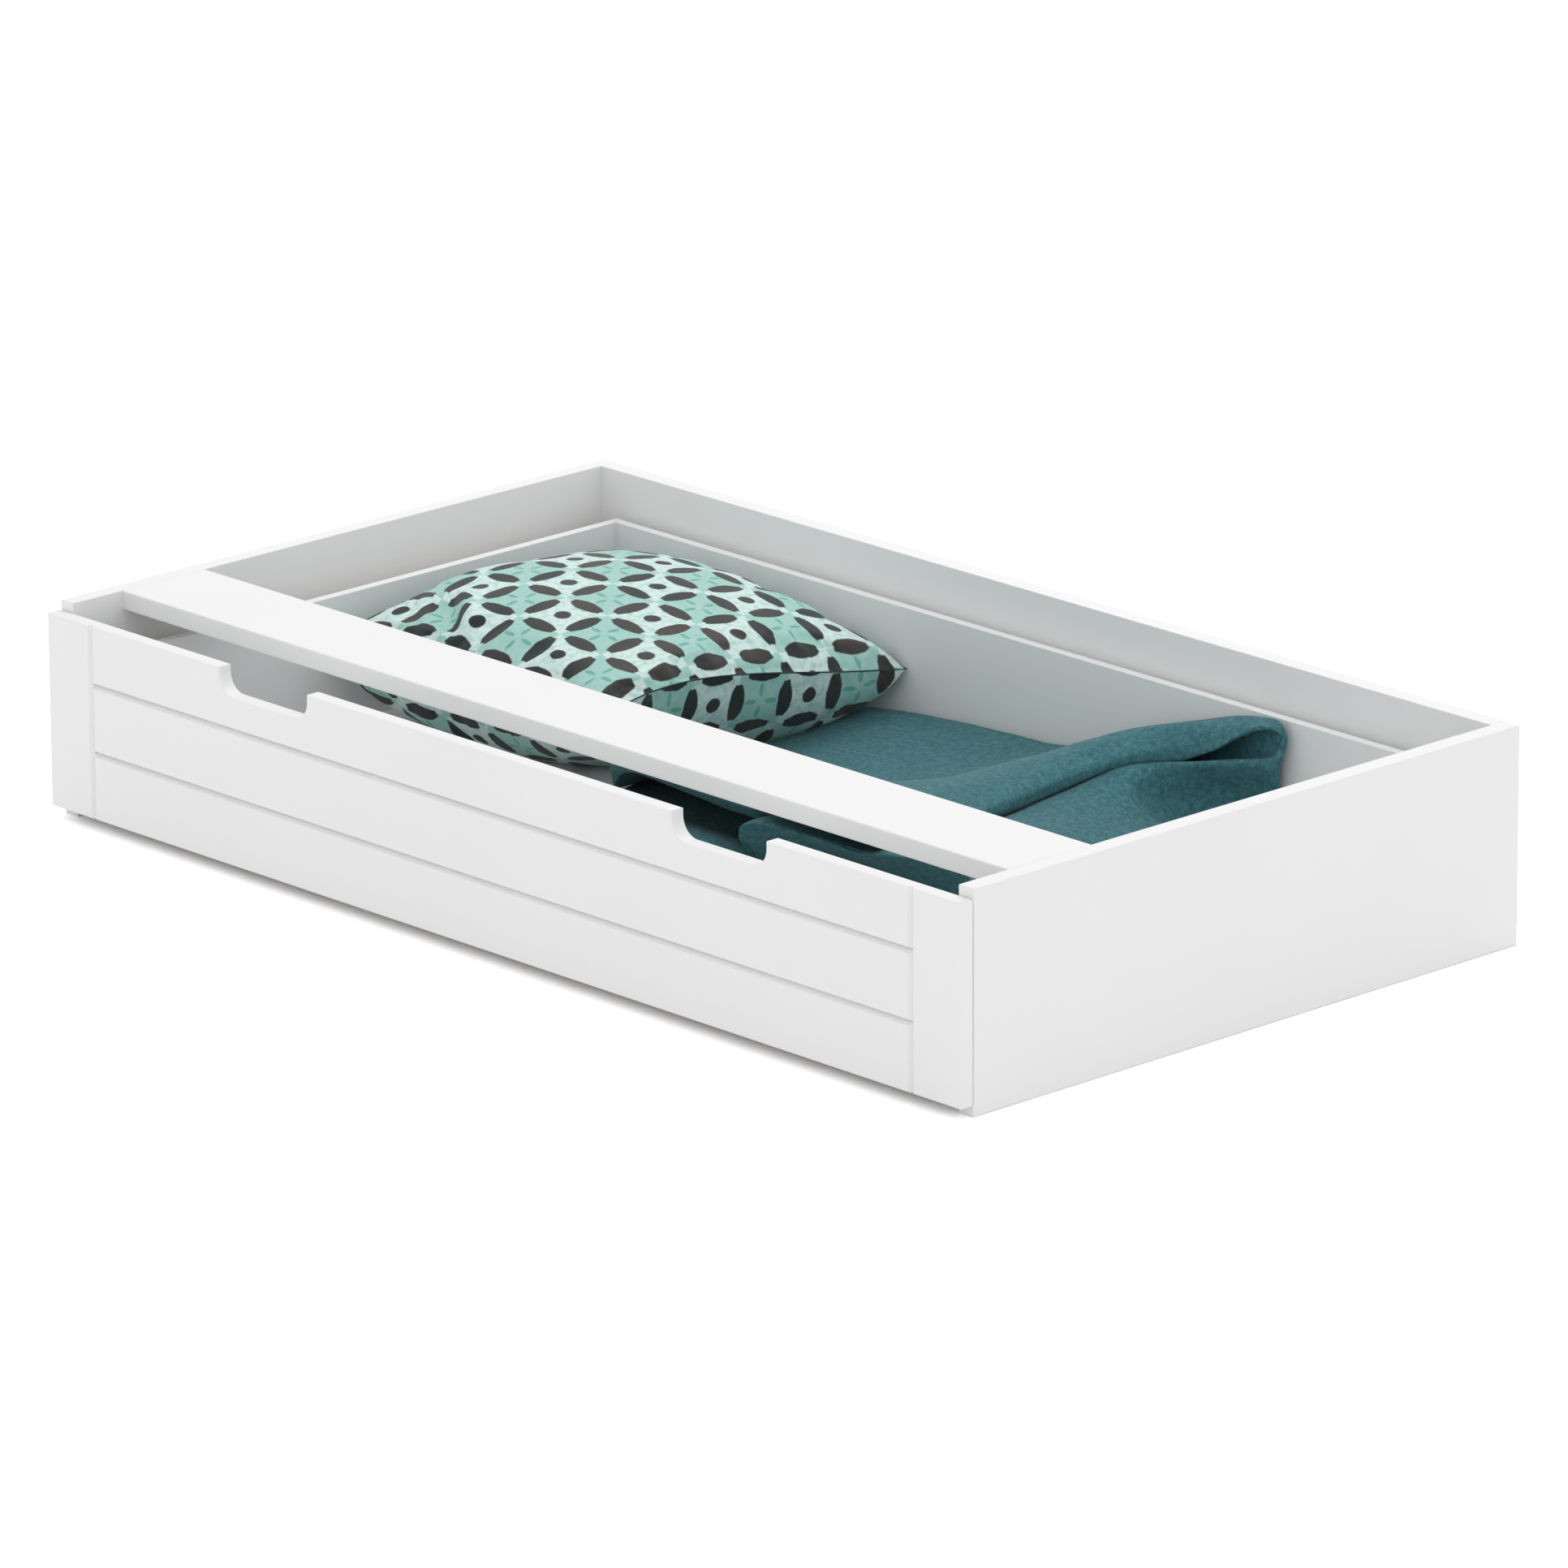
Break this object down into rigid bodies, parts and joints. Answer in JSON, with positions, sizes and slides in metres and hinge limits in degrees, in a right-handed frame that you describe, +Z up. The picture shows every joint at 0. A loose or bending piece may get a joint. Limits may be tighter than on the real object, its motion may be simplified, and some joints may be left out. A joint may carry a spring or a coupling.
{
  "type": "trundle bed",
  "caption": "Low white trundle bed: open board carcass with a top rail and a full-width roll-out drawer with a grooved front, finger cut-outs, castors, pillow and folded throw.",
  "frame": {"origin": "on the floor under the middle of the closed bed", "axes": "+X along the length to the right seen from the front, -Y to the front where the drawer opens, +Z up"},
  "size_m": [1.98, 1.139, 0.338],
  "materials": {
    "white_painted_board": "satin white lacquer on board",
    "white_box_board": "white melamine-faced board",
    "pine_battens": "planed pine",
    "beech_dowels": "fluted beech",
    "zinc_steel": "zinc-plated steel",
    "zinc_cams": "die-cast zinc alloy",
    "wheel_plastic": "moulded plastic",
    "bumper_rubber": "soft clear bumper",
    "pillow_cotton": "printed cotton",
    "blanket_felt": "teal wool felt"
  },
  "bodies": {
    "carcass": {"left_side_panel": "white_painted_board", "right_side_panel": "white_painted_board", "back_panel": "white_painted_board", "top_rail": "white_painted_board", "left_guide_batten": "pine_battens", "right_guide_batten": "pine_battens", "guide_screws": "zinc_steel", "back_cam_discs": "zinc_cams", "back_cam_bolts": "zinc_steel", "back_dowels": "beech_dowels", "rail_cam_discs": "zinc_cams", "rail_cam_bolts": "zinc_steel", "rail_dowels": "beech_dowels"},
    "drawer": {"drawer_front": "white_painted_board", "drawer_left_side": "white_box_board", "drawer_right_side": "white_box_board", "drawer_back": "white_box_board", "bottom_panel_left": "white_box_board", "bottom_panel_middle": "white_box_board", "bottom_panel_right": "white_box_board", "bearer_left": "pine_battens", "bearer_right": "pine_battens", "front_cleat": "pine_battens", "back_cleat": "pine_battens", "front_cam_discs": "zinc_cams", "front_cam_bolts": "zinc_steel", "front_dowels": "beech_dowels", "box_screws": "zinc_steel", "bearer_screws": "zinc_steel", "cleat_screws": "zinc_steel", "front_bumpers": "bumper_rubber", "castor_screws": "zinc_steel", "pillow": "pillow_cotton", "blanket": "blanket_felt", "castor_bracket_1": "zinc_steel", "castor_bracket_2": "zinc_steel", "castor_bracket_3": "zinc_steel", "castor_bracket_4": "zinc_steel", "castor_bracket_5": "zinc_steel", "castor_bracket_6": "zinc_steel", "castor_axle_1": "zinc_steel", "castor_axle_2": "zinc_steel", "castor_axle_3": "zinc_steel", "castor_axle_4": "zinc_steel", "castor_axle_5": "zinc_steel", "castor_axle_6": "zinc_steel"},
    "wheel_1": {"castor_wheel_1": "wheel_plastic"},
    "wheel_2": {"castor_wheel_2": "wheel_plastic"},
    "wheel_3": {"castor_wheel_3": "wheel_plastic"},
    "wheel_4": {"castor_wheel_4": "wheel_plastic"},
    "wheel_5": {"castor_wheel_5": "wheel_plastic"},
    "wheel_6": {"castor_wheel_6": "wheel_plastic"}
  },
  "joints": [
    {"name": "drawer_slide", "type": "slide", "parent": "carcass", "child": "drawer", "axis": [0, -1, 0], "range_m": [0, 0.9]},
    {"name": "wheel_1_spin", "type": "hinge", "parent": "drawer", "child": "wheel_1", "pos_m": [-0.797, -0.3945, 0.02], "axis": [1, 0, 0], "continuous": true},
    {"name": "wheel_2_spin", "type": "hinge", "parent": "drawer", "child": "wheel_2", "pos_m": [0, -0.3945, 0.02], "axis": [1, 0, 0], "continuous": true},
    {"name": "wheel_3_spin", "type": "hinge", "parent": "drawer", "child": "wheel_3", "pos_m": [0.797, -0.3945, 0.02], "axis": [1, 0, 0], "continuous": true},
    {"name": "wheel_4_spin", "type": "hinge", "parent": "drawer", "child": "wheel_4", "pos_m": [-0.797, 0.3575, 0.02], "axis": [1, 0, 0], "continuous": true},
    {"name": "wheel_5_spin", "type": "hinge", "parent": "drawer", "child": "wheel_5", "pos_m": [0, 0.3575, 0.02], "axis": [1, 0, 0], "continuous": true},
    {"name": "wheel_6_spin", "type": "hinge", "parent": "drawer", "child": "wheel_6", "pos_m": [0.797, 0.3575, 0.02], "axis": [1, 0, 0], "continuous": true}
  ],
  "couplings": [
    {"joint": "wheel_1_spin", "follows": "drawer_slide", "rad_per_m": 50},
    {"joint": "wheel_2_spin", "follows": "drawer_slide", "rad_per_m": 50},
    {"joint": "wheel_3_spin", "follows": "drawer_slide", "rad_per_m": 50},
    {"joint": "wheel_4_spin", "follows": "drawer_slide", "rad_per_m": 50},
    {"joint": "wheel_5_spin", "follows": "drawer_slide", "rad_per_m": 50},
    {"joint": "wheel_6_spin", "follows": "drawer_slide", "rad_per_m": 50}
  ]
}
